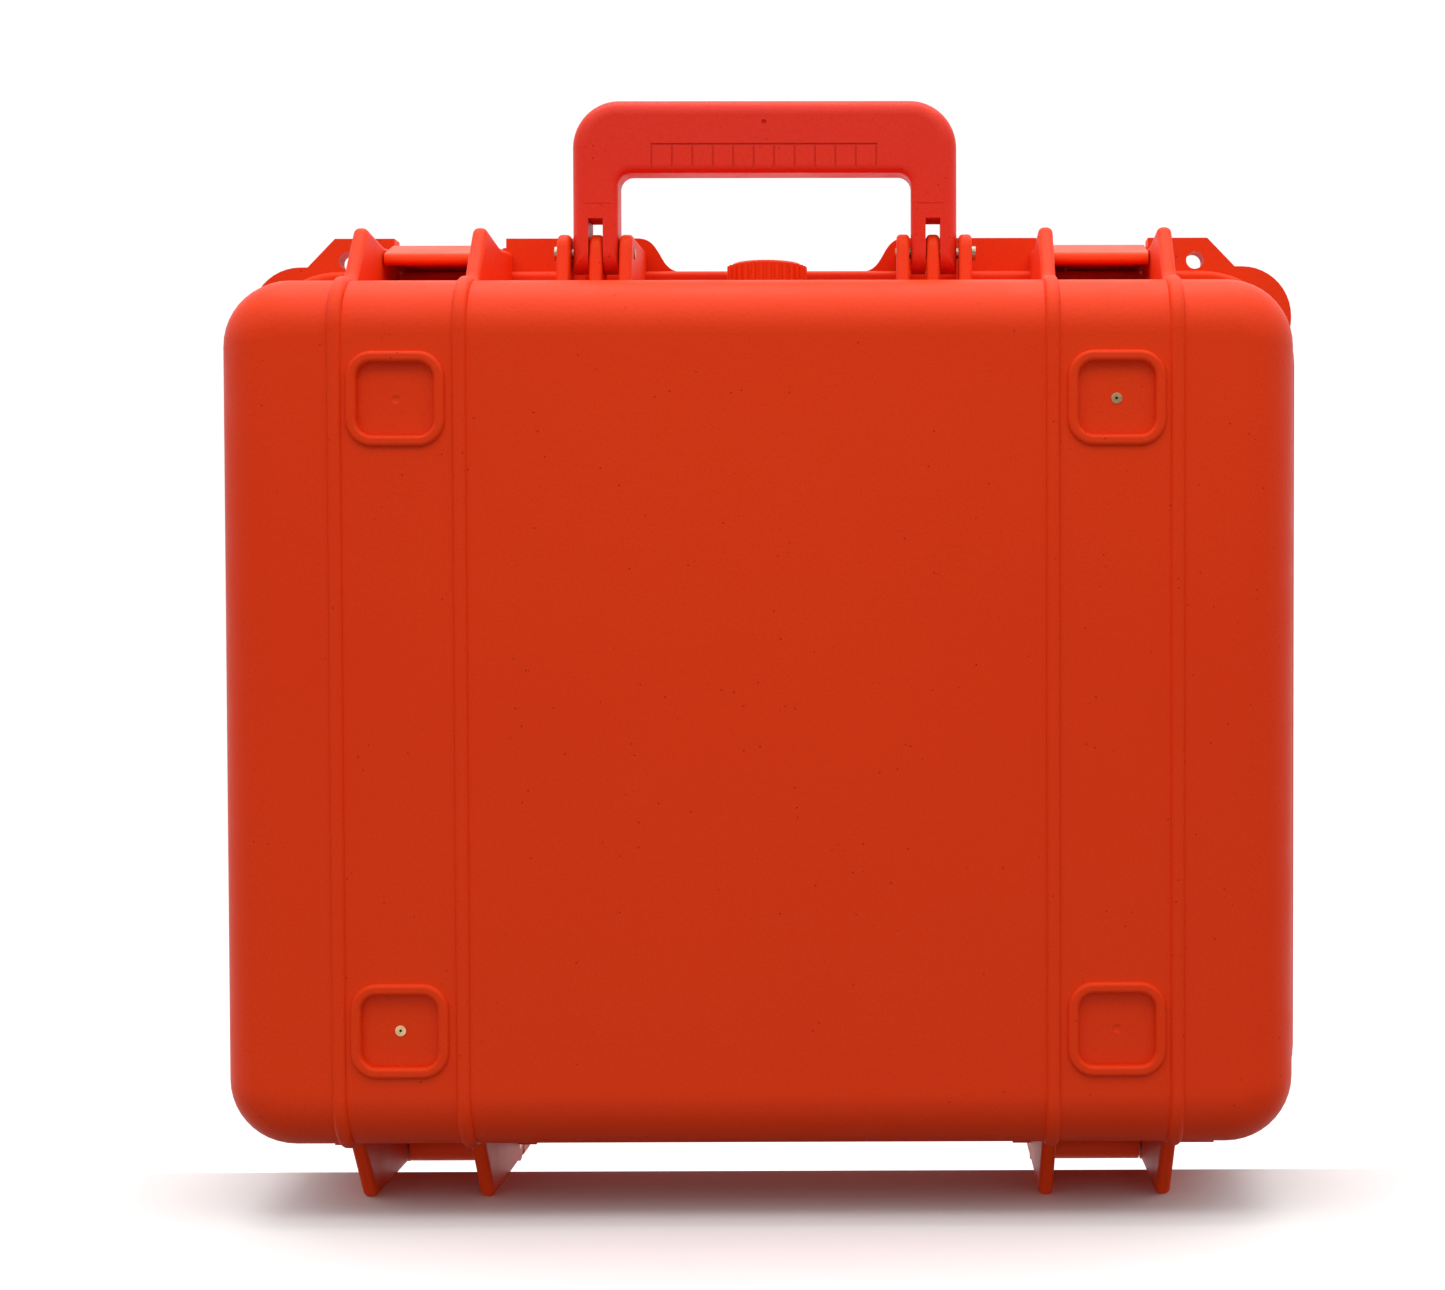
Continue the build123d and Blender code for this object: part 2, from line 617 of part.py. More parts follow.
def latch_claw(mid_x):
    """Inner arm: turns on the lid's pin, reaches over both rim beads and carries the lever."""
    with BuildPart() as claw:
        arm = rib_outline(
            [
                (claw_d + 1, claw_z + 3.4),
                (lever_d, claw_z + 3.4),
                (97.0, claw_z + 3.0),
                (CLAW_END, claw_z + 1.6),
                (CLAW_END, BEAD_TOP + 0.5),
                (100.0, BEAD_TOP + 0.5),
                (claw_d + 1, BEAD_TOP + 0.5),
            ],
            [0, 0, 0, 0, 0, 0, 0],
            mid_x,
        )
        extrude(arm, amount=CLAW_KNUCKLE_W / 2, both=True)
        # cross bar at the arm's end, between the lever's cheeks
        with BuildSketch(front(CLAW_END + CLAW_BAR_T)):
            with Locations((mid_x, (BEAD_TOP + 0.5 + CLAW_BAR_TOP) / 2)):
                Rectangle(CLAW_BAR_W, CLAW_BAR_TOP - BEAD_TOP - 0.5)
        extrude(amount=CLAW_BAR_T)
        add(bar(mid_x, LATCH_W, claw_d, claw_z, CLAW_EYE_R))
        add(bar(mid_x, CLAW_KNUCKLE_W, lever_d, lever_z, LEVER_EYE_R - 0.6))
        add(bar(mid_x, LATCH_W + 2, claw_d, claw_z, LATCH_PIN_HOLE_R), mode=Mode.SUBTRACT)
        add(bar(mid_x, LATCH_W + 2, lever_d, lever_z, LATCH_PIN_HOLE_R), mode=Mode.SUBTRACT)
    return claw


def latch_lever(mid_x):
    """Outer pull lever: a crowned plate between two cheeks, ending in a rounded finger lip."""
    with BuildPart() as lever:
        plate = rib_outline(
            [
                (70.0, 359.6),
                (70.6, 363.4),
                (88.0, 369.2),
                (100.0, 371.0),
                (lever_d - 5.6, 371.8),
                (lever_d - 5.6, 368.4),
                (100.0, 367.6),
                (89.0, 365.9),
                (73.6, 359.2),
            ],
            [1.6, 2.4, 12, 20, 0, 0, 10, 8, 1.5],
            mid_x,
        )
        extrude(plate, amount=LATCH_W / 2, both=True)
        for side in (-1, 1):
            cheek = rib_outline(
                [
                    (73.0, 361.0),
                    (88.0, 368.0),
                    (100.0, 369.6),
                    (lever_d - 2, lever_z + 4.8),
                    (lever_d - 2, lever_z - 4.8),
                    (100.0, 362.4),
                    (86.0, 361.6),
                ],
                [0, 0, 0, 0, 0, 3, 4],
                mid_x + side * (LATCH_W / 2 - 1.5),
            )
            extrude(cheek, amount=1.5, both=True)
            knuckle_w = (LATCH_W - CLAW_KNUCKLE_W) / 2 - 0.4
            knuckle_x = mid_x + side * (LATCH_W - knuckle_w) / 2
            add(bar(knuckle_x, knuckle_w, lever_d, lever_z, LEVER_EYE_R))
        add(bar(mid_x, LATCH_W + 2, lever_d, lever_z, LATCH_PIN_HOLE_R), mode=Mode.SUBTRACT)
    return lever


for name, side in (("left", -1), ("right", 1)):
    save(latch_claw(side * LATCH_X), f"latch_claw_{name}")
    save(latch_lever(side * LATCH_X), f"latch_lever_{name}")
    with BuildPart() as lever_pin:
        add(bar(side * LATCH_X, LATCH_W - 1, lever_d, lever_z, LATCH_PIN_R))
    save(lever_pin, f"latch_lever_pin_{name}")

# ================= pressure valve =================
valve_seat = FACE_TOP + 3.6
valve_y = y_at(VALVE_DEPTH)

with BuildPart() as valve_housing:
    with BuildSketch(Plane.XY.offset(valve_seat - 12)):
        with Locations((0, valve_y)):
            Circle(6.8)
    extrude(amount=13.0)
    with BuildSketch(Plane.XY.offset(valve_seat + 0.01)):
        with Locations((0, valve_y)):
            Circle(12.5)
            Circle(9.4, mode=Mode.SUBTRACT)
    extrude(amount=1.0)
    with BuildSketch(Plane.XY.offset(valve_seat + 0.9)):
        with Locations((0, valve_y)):
            Circle(12.5)
    extrude(amount=0.8)
    with BuildSketch(Plane.XY.offset(valve_seat - 13)):
        with Locations((0, valve_y)):
            Circle(3.0)
    extrude(amount=20, mode=Mode.SUBTRACT)
save(valve_housing, "valve_housing")

with BuildPart() as valve_seal:
    with BuildSketch(Plane.XY.offset(valve_seat + 0.05)):
        with Locations((0, valve_y)):
            Circle(9.2)
            Circle(6.95, mode=Mode.SUBTRACT)
    extrude(amount=0.8)
save(valve_seal, "valve_seal")

with BuildPart() as valve_membrane:
    with BuildSketch(Plane.XY.offset(valve_seat - 9)):
        with Locations((0, valve_y)):
            Circle(2.98)
    extrude(amount=0.6)
save(valve_membrane, "valve_membrane")

with BuildPart() as valve_nut:
    with BuildSketch(Plane.XY.offset(FACE_TOP - 9.0)):
        with Locations((0, valve_y)):
            RegularPolygon(10.5, 6)
            Circle(6.85, mode=Mode.SUBTRACT)
    extrude(amount=4.0)
save(valve_nut, "valve_nut")

with BuildPart() as valve_knob:
    with BuildSketch(Plane.XY.offset(VALVE_TOP - VALVE_KNOB_H)):
        with Locations((0, valve_y)):
            Circle(VALVE_R - 0.9)
            with PolarLocations(VALVE_R - 0.9, VALVE_RIBS):
                Circle(0.95)
    extrude(amount=VALVE_KNOB_H - 1.0)
    with BuildSketch(Plane.XY.offset(VALVE_TOP - 1.1)):
        with Locations((0, valve_y)):
            Circle(VALVE_R - 1.6)
    extrude(amount=1.1)
    chamfer(valve_knob.faces().sort_by(Axis.Z)[-1].edges(), 0.8)
    # hollow underside that covers the housing's collar
    with BuildSketch(Plane.XY.offset(VALVE_TOP - VALVE_KNOB_H)):
        with Locations((0, valve_y)):
            Circle(12.9)
    extrude(amount=VALVE_KNOB_H - 5.6, mode=Mode.SUBTRACT)
    # coin slot across the top
    with BuildSketch(Plane.XY.offset(VALVE_TOP)):
        with Locations((0, valve_y)):
            Rectangle(20, 2.4)
    extrude(amount=-1.4, mode=Mode.SUBTRACT)
save(valve_knob, "valve_knob")

# ================= brass inserts in two of the foot recesses =================
with BuildPart() as foot_inserts:
    with BuildSketch(front(FOOT_SINK - 0.3)):
        with Locations((FOOT_XS[1], FOOT_ZS[1]), (FOOT_XS[0], FOOT_ZS[0])):
            Circle(1.97)
            Circle(0.5, mode=Mode.SUBTRACT)
    extrude(amount=-(FACE_WALL - FOOT_SINK - 0.2))
save(foot_inserts, "foot_inserts")

# ================= defibrillator unit =================
aed_mid_z = AED_BOTTOM + AED_H / 2
aed_front = AED_BACK + AED_D
aed_split = AED_BACK + AED_SPLIT

with BuildPart() as aed_rear_case:
    add(slab(AED_W, AED_H, AED_R, AED_X, aed_mid_z, AED_BACK, aed_split - 0.1))
    fillet(aed_rear_case.faces().sort_by(Axis.Y)[0].edges(), 10)
    add(
        slab(
            AED_W - 2 * AED_WALL,
            AED_H - 2 * AED_WALL,
            AED_R - AED_WALL,
            AED_X,
            aed_mid_z,
            AED_BACK + AED_WALL + 1,
            aed_split,
        ),
        mode=Mode.SUBTRACT,
    )
    # battery bay walls, left open towards the front
    battery_x = AED_X - 50
    battery_z = AED_BOTTOM + 58
    add(
        slab(94, 70, 3, battery_x, battery_z, AED_BACK + AED_WALL, AED_BACK + 34),
    )
    add(
        slab(90, 66, 2, battery_x, battery_z, AED_BACK + AED_WALL + 1, AED_BACK + 35),
        mode=Mode.SUBTRACT,
    )
    # bosses that the case screws enter
    boss_xs = (AED_X - AED_W / 2 + AED_BOSS, AED_X + AED_W / 2 - AED_BOSS)
    boss_zs = (AED_BOTTOM + AED_BOSS, AED_BOTTOM + AED_H - AED_BOSS)
    with BuildSketch(front(aed_split - 0.1)):
        with Locations(*[(x, z) for x in boss_xs for z in boss_zs]):
            Circle(5)
    extrude(amount=AED_SPLIT - AED_WALL - 2)
    with BuildSketch(front(AED_BACK - 1)):
        with Locations(*[(x, z) for x in boss_xs for z in boss_zs]):
            Circle(1.8)
    extrude(amount=-(AED_SPLIT + 2), mode=Mode.SUBTRACT)
    with BuildSketch(front(AED_BACK - 1)):
        with Locations(*[(x, z) for x in boss_xs for z in boss_zs]):
            Circle(3.4)
    extrude(amount=-7, mode=Mode.SUBTRACT)
save(aed_rear_case, "aed_rear_case")

shock_at = (AED_X + SHOCK_X, AED_BOTTOM + SHOCK_Z - 20)
power_at = (AED_X + POWER_X, AED_BOTTOM + POWER_Z - 10)
window_at = (AED_X - 34, AED_BOTTOM + 160)
speaker_at = (AED_X - 62, AED_BOTTOM + 74)
socket_at = (AED_X + 4, AED_BOTTOM + 64)

with BuildPart() as aed_front_case:
    add(slab(AED_W, AED_H, AED_R, AED_X, aed_mid_z, aed_split + 0.1, aed_front))
    fillet(aed_front_case.faces().sort_by(Axis.Y)[-1].edges(), 8)
    add(
        slab(
            AED_W - 2 * AED_WALL,
            AED_H - 2 * AED_WALL,
            AED_R - AED_WALL,
            AED_X,
            aed_mid_z,
            aed_split,
            aed_front - AED_WALL - 1,
        ),
        mode=Mode.SUBTRACT,
    )
    with BuildSketch(front(aed_front + 1)):
        with Locations(shock_at):
            Circle(SHOCK_R + 0.4)
        with Locations(power_at):
            Circle(POWER_R + 0.4)
        with Locations(window_at):
            RectangleRounded(84, 44, 5)
        with Locations(socket_at):
            RectangleRounded(26.2, 18.2, 4)
    extrude(amount=8, mode=Mode.SUBTRACT)
    # sound slots over the speaker
    with BuildSketch(front(aed_front + 1)):
        with Locations(speaker_at):
            with GridLocations(0, 5, 1, 7):
                SlotOverall(34, 2.2)
    extrude(amount=8, mode=Mode.SUBTRACT)
    with BuildSketch(front(aed_front - 6)):
        with Locations(*[(x, z) for x in boss_xs for z in boss_zs]):
            Circle(4.6)
    extrude(amount=AED_D - AED_SPLIT - 6.3)
    with BuildSketch(front(aed_split)):
        with Locations(*[(x, z) for x in boss_xs for z in boss_zs]):
            Circle(1.4)
    extrude(amount=-14, mode=Mode.SUBTRACT)
save(aed_front_case, "aed_front_case")

with BuildPart() as aed_carry_handle:
    grip_z = AED_BOTTOM + AED_H
    with BuildSketch(front(AED_BACK + 26)):
        with Locations((AED_X, grip_z + 15.0)):
            RectangleRounded(124, 30, 11)
            with Locations((0, -2.5)):
                RectangleRounded(98, 18, 7, mode=Mode.SUBTRACT)
    extrude(amount=9, both=True)
    fillet(aed_carry_handle.faces().sort_by(Axis.Y)[0].edges(), 1.5)
    fillet(aed_carry_handle.faces().sort_by(Axis.Y)[-1].edges(), 1.5)
save(aed_carry_handle, "aed_carry_handle")

with BuildPart() as aed_battery:
    add(slab(88, 64, 3, battery_x, battery_z, AED_BACK + AED_WALL + 1.2, AED_BACK + 38))
    with BuildSketch(front(AED_BACK + 38)):
        with Locations((battery_x, battery_z - 26)):
            Rectangle(30, 3)
    extrude(amount=-2)
save(aed_battery, "aed_battery")

board_depth = AED_BACK + 46
with BuildPart() as aed_circuit_board:
    add(slab(196, 170, 6, AED_X, aed_mid_z, board_depth, board_depth + 1.6))
    with BuildSketch(front(board_depth + 1.6)):
        with Locations((AED_X - 30, aed_mid_z + 10)):
            Rectangle(22, 22)
        with Locations((AED_X + 10, aed_mid_z + 50), (AED_X - 70, aed_mid_z - 10)):
            Rectangle(14, 9)
    extrude(amount=-2.2)
save(aed_circuit_board, "aed_circuit_board")

with BuildPart() as aed_capacitor:
    with BuildSketch(Plane.YZ.offset(AED_X - 20)):
        with Locations((y_at(AED_BACK + 25), AED_BOTTOM + 150)):
            Circle(17.5)
    extrude(amount=90)
    fillet(aed_capacitor.edges(), 1.5)
save(aed_capacitor, "aed_capacitor")

with BuildPart() as aed_transformer:
    with BuildSketch(front(board_depth - 0.1)):
        with Locations((AED_X - 70, AED_BOTTOM + 150)):
            RectangleRounded(40, 34, 2)
    extrude(amount=30)
save(aed_transformer, "aed_transformer")

with BuildPart() as aed_speaker:
    with BuildSketch(front(aed_front - AED_WALL - 1.2)):
        with Locations(speaker_at):
            Circle(20)
    extrude(amount=8)
    with BuildSketch(front(aed_front - AED_WALL - 9.1)):
        with Locations(speaker_at):
            Circle(12)
    extrude(amount=5)
save(aed_speaker, "aed_speaker")

with BuildPart() as aed_keypad:
    add(
        slab(
            48,
            120,
            6,
            AED_X + SHOCK_X,
            (shock_at[1] + power_at[1]) / 2,
            aed_front - 12.0,
            aed_front - 10.6,
        )
    )
    with BuildSketch(front(aed_front - 10.6)):
        with Locations(shock_at, power_at):
            Circle(7)
    extrude(amount=-1.6, taper=20)
save(aed_keypad, "aed_keypad")


def push_button(at, radius):
    """Round button with a retaining skirt that stays behind the front case."""
    with BuildPart() as button:
        with BuildSketch(front(aed_front + BUTTON_PROUD)):
            with Locations(at):
                Circle(radius)
        extrude(amount=BUTTON_PROUD + 6.4)
        fillet(button.faces().sort_by(Axis.Y)[-1].edges(), 1.2)
        with BuildSketch(front(aed_front - 4.2)):
            with Locations(at):
                Circle(radius + 1.6)
        extrude(amount=1.8)
    return button


save(push_button(shock_at, SHOCK_R), "aed_shock_button")
save(push_button(power_at, POWER_R), "aed_power_button")

with BuildPart() as aed_screen:
    add(slab(83.6, 43.6, 4.8, *window_at, aed_front - 3.4, aed_front - 0.6))
save(aed_screen, "aed_screen")

with BuildPart() as aed_pad_socket:
    add(slab(26, 18, 3.9, *socket_at, aed_front - 12, aed_front + 1.0))
    with BuildSketch(front(aed_front + 1.0)):
        with Locations(socket_at):
            RectangleRounded(20, 12, 2.5)
    extrude(amount=9, mode=Mode.SUBTRACT)
save(aed_pad_socket, "aed_pad_socket")

with BuildPart() as aed_case_screws:
    with BuildSketch(front(AED_BACK + 3.0)):
        with Locations(*[(x, z) for x in boss_xs for z in boss_zs]):
            Circle(3.2)
    extrude(amount=-2.8)
    with BuildSketch(front(AED_BACK + 5.7)):
        with Locations(*[(x, z) for x in boss_xs for z in boss_zs]):
            Circle(1.35)
    extrude(amount=-52)
save(aed_case_screws, "aed_case_screws")

# ================= foam and the pads pouch =================
pouch_back = FOAM_TOP - POUCH_D - 2.0
with BuildPart() as pads_pouch:
    add(slab(POUCH_W, POUCH_H, 8, POUCH_X, POUCH_Z, pouch_back, FOAM_TOP - 2.0))
    fillet(pads_pouch.edges().group_by(Axis.Y)[-1], 5)
    fillet(pads_pouch.edges().group_by(Axis.Y)[0], 5)
save(pads_pouch, "pads_pouch")

with BuildPart() as base_foam:
    foam_spread = (FOAM_TOP - FACE_WALL) * SPREAD
    add(
        slab(
            FACE_W + 2 * foam_spread - 2 * WALL - 2 * FOAM_GAP - 1.5,
            FACE_H + 2 * foam_spread - 2 * WALL - 2 * FOAM_GAP - 1.5,
            FACE_CORNER_R + 2,
            0,
            FACE_MID_Z,
            FACE_WALL + FOAM_GAP,
            FOAM_TOP,
            DRAFT,
        )
    )
    fillet(base_foam.faces().sort_by(Axis.Y)[0].edges(), FOAM_EDGE_R)
    # bed for the unit and its handle
    add(
        slab(
            AED_W + 2 * POCKET_GAP,
            AED_H + 2 * POCKET_GAP,
            AED_R,
            AED_X,
            aed_mid_z,
            AED_BACK - 0.5,
            FOAM_TOP + 1,
        ),
        mode=Mode.SUBTRACT,
    )
    add(
        slab(128, 38, 10, AED_X, grip_z + 15.2, AED_BACK + 12, FOAM_TOP + 1),
        mode=Mode.SUBTRACT,
    )
    # pads pouch pocket and the free accessory pocket under it
    add(
        slab(
            POUCH_W + 2 * POCKET_GAP,
            POUCH_H + 2 * POCKET_GAP,
            8,
            POUCH_X,
            POUCH_Z,
            pouch_back - 0.5,
            FOAM_TOP + 1,
        ),
        mode=Mode.SUBTRACT,
    )
    add(
        slab(SPARE_W, SPARE_H, 10, POUCH_X, SPARE_Z, FOAM_TOP - SPARE_D, FOAM_TOP + 1),
        mode=Mode.SUBTRACT,
    )
    # clearance round the valve's nut
    with BuildSketch(Plane.XY.offset(FACE_TOP - 16)):
        with Locations((0, valve_y)):
            Circle(14)
    extrude(amount=30, mode=Mode.SUBTRACT)
save(base_foam, "base_foam")

with BuildPart() as lid_foam:
    add(
        slab(
            FACE_W - 2 * WALL - 2 * FOAM_GAP,
            FACE_H - 2 * WALL - 2 * FOAM_GAP,
            FACE_CORNER_R - WALL,
            0,
            FACE_MID_Z,
            LID_RIM + 3.0,
            LID_FACE - FACE_WALL - FOAM_GAP,
        )
    )
    fillet(lid_foam.faces().sort_by(Axis.Y)[-1].edges(), LID_FOAM_EDGE_R)
save(lid_foam, "lid_foam")
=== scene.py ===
import json
import math

import bmesh
import bpy
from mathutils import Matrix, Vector, noise


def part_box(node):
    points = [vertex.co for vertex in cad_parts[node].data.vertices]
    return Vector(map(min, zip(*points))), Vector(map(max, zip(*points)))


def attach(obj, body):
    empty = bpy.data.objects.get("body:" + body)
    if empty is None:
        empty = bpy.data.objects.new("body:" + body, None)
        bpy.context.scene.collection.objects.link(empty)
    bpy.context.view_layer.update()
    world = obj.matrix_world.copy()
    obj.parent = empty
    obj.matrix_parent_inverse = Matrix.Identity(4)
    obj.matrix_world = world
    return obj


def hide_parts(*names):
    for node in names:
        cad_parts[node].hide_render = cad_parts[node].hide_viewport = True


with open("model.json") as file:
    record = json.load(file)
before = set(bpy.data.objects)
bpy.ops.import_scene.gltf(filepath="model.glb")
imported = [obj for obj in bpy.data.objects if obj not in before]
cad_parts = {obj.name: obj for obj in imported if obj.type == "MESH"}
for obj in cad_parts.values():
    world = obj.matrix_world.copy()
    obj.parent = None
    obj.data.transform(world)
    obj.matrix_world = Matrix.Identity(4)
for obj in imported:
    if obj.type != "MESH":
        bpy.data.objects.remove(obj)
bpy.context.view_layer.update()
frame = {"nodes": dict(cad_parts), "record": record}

MM = 0.001

# ---- the camera: a long lens a little above the middle, shifted to frame the case ----
CAMERA_AT = (0.052, -0.953, 0.219)
CAMERA_TURN = (88.515, 0.127, -0.327)
CAMERA_LENS = 60.1
CAMERA_SENSOR = 36.0
CAMERA_SHIFT = (-0.1332, 0.0291)

# ---- stage: a table whose far edge is under the case, and a lower floor beyond it ----
FLOOR_SIDE = 20.0
TABLE_EDGE = 0.010
TABLE_STEP = 0.125
PAPER_LOW = (0.86, 0.86, 0.855)
PAPER_HIGH = (0.89, 0.89, 0.885)

# ---- light: brightness of the room's sides, and the parts of its direction they fade over ----
FRONT_FILL = 0.28
HORIZON = 1.02
ZENITH = 1.3
FRONT_BOUNCE = 0.58
NADIR = 0.03
BACK_FADE = (-0.55, 0.15)
ABOVE_FADE = (0.15, 0.75)
BELOW_FADE = (-0.02, -0.10)
BOUNCE_FADE = (-0.75, -0.15)
TOP_POWER = 11.0
TOP_AT = (0.0, 0.14, 1.6)
TOP_AIM = (0.0, 0.05, 0.3)
TOP_SIZE = (1.6, 0.7)
KEY_POWER = 1.9
KEY_AT = (0.0, -0.45, 0.85)
KEY_AIM = (0.0, -0.08, 0.33)
KEY_SIZE = (1.3, 0.25)

# ---- colours, linear ----
ORANGE = (0.80, 0.043, 0.002)
ORANGE_DEEP = (0.70, 0.028, 0.001)
HANDLE_RED = (0.74, 0.036, 0.016)
HANDLE_DEEP = (0.60, 0.022, 0.009)
# lighter than the case orange: painted highlight for the light that the latch bar's rounded top
# catches from above
LATCH_ORANGE_LIT = (0.86, 0.055, 0.003)
SPECK = (0.42, 0.018, 0.003)
STEEL = (0.42, 0.36, 0.26)
BRASS = (0.62, 0.42, 0.22)
RUBBER = (0.018, 0.018, 0.019)
FOAM = (0.020, 0.020, 0.022)
MEMBRANE = (0.62, 0.62, 0.60)
CHARCOAL = (0.030, 0.034, 0.038)
CHARCOAL_DEEP = (0.020, 0.022, 0.025)
IVORY = (0.70, 0.70, 0.66)
IVORY_DEEP = (0.62, 0.62, 0.58)
BATTERY_GREY = (0.055, 0.060, 0.065)
BATTERY_DEEP = (0.04, 0.044, 0.048)
BOARD_GREEN = (0.010, 0.110, 0.035)
BOARD_DEEP = (0.006, 0.07, 0.022)
CAN_METAL = (0.60, 0.61, 0.63)
SHOCK_ORANGE = (0.90, 0.13, 0.004)
SHOCK_DEEP = (0.80, 0.09, 0.003)
POWER_GREEN = (0.02, 0.38, 0.05)
POWER_DEEP = (0.015, 0.30, 0.04)
SCREEN_DARK = (0.012, 0.016, 0.018)
SCREEN_DEEP = (0.01, 0.012, 0.014)
FOIL = (0.52, 0.54, 0.56)
FOIL_DEEP = (0.44, 0.46, 0.48)

# ---- grain of the surfaces: texture scales, larger is finer ----
FLOW_SCALE = 5.0
SHADE_SCALE = 1300.0
SPECK_SCALE = 240.0
SPECK_PATCH_SCALE = 90.0
GLOSS_PATCH_SCALE = 60.0
COARSE_GRAIN_SCALE = 520.0
FINE_GRAIN_SCALE = 1700.0
TARNISH_SCALE = 240.0
METAL_MARK_SCALE = 900.0
DUST_SCALE = 120.0
RUBBER_GLOSS_SCALE = 300.0
RUBBER_GRAIN_SCALE = 1400.0
PORE_SCALE = 900.0
FOAM_LUMP_SCALE = 260.0
PAPER_CLOUD_SCALE = 3.0
COARSE_GRAIN_DEPTH = 0.25 * MM
FINE_GRAIN_DEPTH = 0.1 * MM
METAL_MARK_DEPTH = 0.05 * MM
FOAM_LUMP_DEPTH = 0.5 * MM
PORE_DEPTH = 0.3 * MM

# ---- soft pieces ----
FOAM_VOXEL = 2.6 * MM
FOAM_RELAX = 5
FOAM_RELAX_FACTOR = 0.6
FOAM_WAVE = 0.5 * MM
FOAM_WAVE_SCALE = 45.0
EGG_PITCH = 34 * MM
EGG_DEPTH = 16 * MM
EGG_EDGE = 9 * MM
EGG_CORNER = 20 * MM
EGG_FRONT_INSET = 1.8 * MM
EGG_BACK_INSET = 10 * MM
EGG_GAP = 1 * MM
EGG_RIPPLE = 0.5 * MM
EGG_RIPPLE_SCALE = 60
EGG_COUNT_X = 110
EGG_COUNT_Z = 90
POUCH_SEAL = 8 * MM
POUCH_SEAL_AT = 0.35
POUCH_GAP = 1 * MM
POUCH_CORNER = 3 * MM
POUCH_HALF_FILM = 0.5 * MM
POUCH_FULLNESS = 0.55
POUCH_PUCKER = 1.1 * MM
POUCH_PUCKERS_X = 420
POUCH_PUCKERS_Z = 400
POUCH_STRAY = 2
POUCH_STRAY_SCALE = 40
POUCH_DENT = 0.6 * MM
POUCH_DENT_SCALE = 45
POUCH_CRIMP = 0.25 * MM
POUCH_CRIMP_PITCH = 2600
POUCH_COUNT = 90

# ---- signs on the unit: outlines as seen, in millimetres ----
BOLT = [(2.2, 9.5), (-5.2, -1.2), (-0.6, -1.2), (-2.2, -9.5), (5.2, 1.4), (0.6, 1.4)]
BOLT_RISE = 0.35 * MM
TICK = [(-9, 0), (-6.4, 2.4), (-2.6, -1.6), (8, 9), (10.4, 6.4), (-2.6, -6.6)]
TICK_RISE = 0.1 * MM
POWER_RING_IN = 3.4
POWER_RING_OUT = 4.5
POWER_RING_OPEN = 32
POWER_RING_STEPS = 40
POWER_STEM_HALF = 0.55
POWER_STEM_LOW = 1.4
POWER_STEM_HIGH = 5.4
POWER_RISE = 0.3 * MM
SIGN_SINK = 0.2 * MM

# ---- the mix node's colour sockets ----
MIX_FIRST = 6
MIX_SECOND = 7
MIX_RESULT = 2


# ================= materials =================
def new_material(name):
    """Empty node material with a Principled shader; returns the tree, the shader and object space."""
    material = bpy.data.materials.new(name)
    material.use_nodes = True
    tree = material.node_tree
    shader = tree.nodes["Principled BSDF"]
    place = tree.nodes.new("ShaderNodeTexCoord").outputs["Object"]
    return material, tree, shader, place


def noise_node(tree, place, scale, detail=3.0):
    node = tree.nodes.new("ShaderNodeTexNoise")
    node.inputs["Scale"].default_value = scale
    node.inputs["Detail"].default_value = detail
    node.inputs["Roughness"].default_value = 0.55
    tree.links.new(place, node.inputs["Vector"])
    return node.outputs["Fac"]


def spread(tree, value, low, high, to_low=0.0, to_high=1.0):
    """Maps low..high of a value to to_low..to_high, held inside that range."""
    node = tree.nodes.new("ShaderNodeMapRange")
    tree.links.new(value, node.inputs["Value"])
    node.inputs["From Min"].default_value = low
    node.inputs["From Max"].default_value = high
    node.inputs["To Min"].default_value = to_low
    node.inputs["To Max"].default_value = to_high
    return node.outputs["Result"]


def mix_colour(tree, factor, first, second):
    """Mix of two colours, each a fixed colour or another node's output."""
    node = tree.nodes.new("ShaderNodeMix")
    node.data_type = "RGBA"
    tree.links.new(factor, node.inputs["Factor"])
    for socket, value in ((MIX_FIRST, first), (MIX_SECOND, second)):
        if isinstance(value, tuple):
            node.inputs[socket].default_value = (*value, 1.0)
        else:
            tree.links.new(value, node.inputs[socket])
    return node.outputs[MIX_RESULT]


def bump(tree, shader, height, strength, distance, under=None):
    """Relief of a given depth on the shader's normal, over another relief where one is given."""
    node = tree.nodes.new("ShaderNodeBump")
    node.inputs["Strength"].default_value = strength
    node.inputs["Distance"].default_value = distance
    tree.links.new(height, node.inputs["Height"])
    if under is not None:
        tree.links.new(under, node.inputs["Normal"])
    tree.links.new(node.outputs["Normal"], shader.inputs["Normal"])
    return node.outputs["Normal"]


